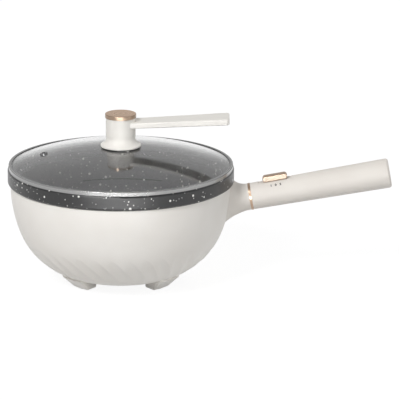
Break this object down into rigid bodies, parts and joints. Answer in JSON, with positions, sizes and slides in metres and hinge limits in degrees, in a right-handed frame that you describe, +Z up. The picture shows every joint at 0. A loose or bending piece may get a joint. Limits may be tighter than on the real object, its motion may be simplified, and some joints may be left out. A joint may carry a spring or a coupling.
{
  "type": "electric cooker",
  "caption": "Bowl shaped electric cooker with a built-in speckled pot, a long side handle with a slide switch, and a lift-off glass lid with a column and flat arm.",
  "frame": {"origin": "on the table, under the middle of the overall length from the pot's rim to the handle's tip, on the plane through the pot's axis and the handle", "axes": "+X out along the long handle, +Z up, +Y to the back, where the power inlet is"},
  "size_m": [0.4923, 0.29, 0.2204],
  "materials": {
    "cream_shell": "satin moulded polypropylene",
    "cream_handle": "satin moulded phenolic",
    "granite_pot": "die-cast with a speckled granite non-stick coating",
    "rose_gold": "anodised, satin",
    "polished_steel": "polished stainless strip",
    "clear_glass": "tempered, clear",
    "silicone": "matt silicone",
    "pad_rubber": "matt",
    "grey_plastic": "fine texture",
    "black_plastic": "fine texture",
    "bare_aluminium": "as cast",
    "steel": "zinc plated",
    "heater_steel": "oxidised sheath",
    "ceramic": "unglazed",
    "brass": "bright",
    "lead_sleeve": "silicone sleeved lead"
  },
  "bodies": {
    "cooker_body": {"outer_housing": "cream_shell", "base_cover": "grey_plastic", "foot_pads": "pad_rubber", "foot_screws": "steel", "cover_screws": "steel", "inner_pot": "granite_pot", "pot_gasket": "silicone", "pot_studs": "bare_aluminium", "pot_screws": "steel", "heater_plate": "bare_aluminium", "heating_element": "heater_steel", "heat_shield": "bare_aluminium", "thermostat": "ceramic", "thermostat_strap": "steel", "strap_screws": "steel", "thermal_fuse": "ceramic", "terminal_block": "ceramic", "power_inlet": "black_plastic", "inlet_pins": "brass", "inlet_screws": "steel", "handle_neck": "cream_handle", "neck_screws": "steel", "handle_ring": "rose_gold", "handle_grip": "cream_handle", "handle_end_cap": "cream_handle", "handle_bolt": "steel", "slide_switch": "black_plastic", "switch_screws": "steel", "inlet_leads": "lead_sleeve", "heater_leads": "lead_sleeve", "switch_cable": "lead_sleeve", "foot_rear_right": "cream_shell", "foot_rear_left": "cream_shell", "foot_front_left": "cream_shell", "foot_front_right": "cream_shell"},
    "lid": {"lid_band": "polished_steel", "lid_glass": "clear_glass", "vent_grommet": "polished_steel", "lid_handle": "cream_handle", "lid_handle_cap": "rose_gold", "lid_handle_gasket": "silicone", "lid_under_gasket": "silicone", "lid_washer": "polished_steel", "lid_handle_screw": "steel", "lid_handle_insert": "brass"},
    "switch_slider": {"switch_slider": "rose_gold", "slider_carrier": "grey_plastic"}
  },
  "joints": [
    {"name": "lid_lift", "type": "slide", "parent": "cooker_body", "child": "lid", "axis": [0, 0, 1], "range_m": [0, 0.15]},
    {"name": "switch_slide", "type": "slide", "parent": "cooker_body", "child": "switch_slider", "axis": [0.9848, 0, 0.1736], "range_m": [-0.006, 0.006]}
  ]
}
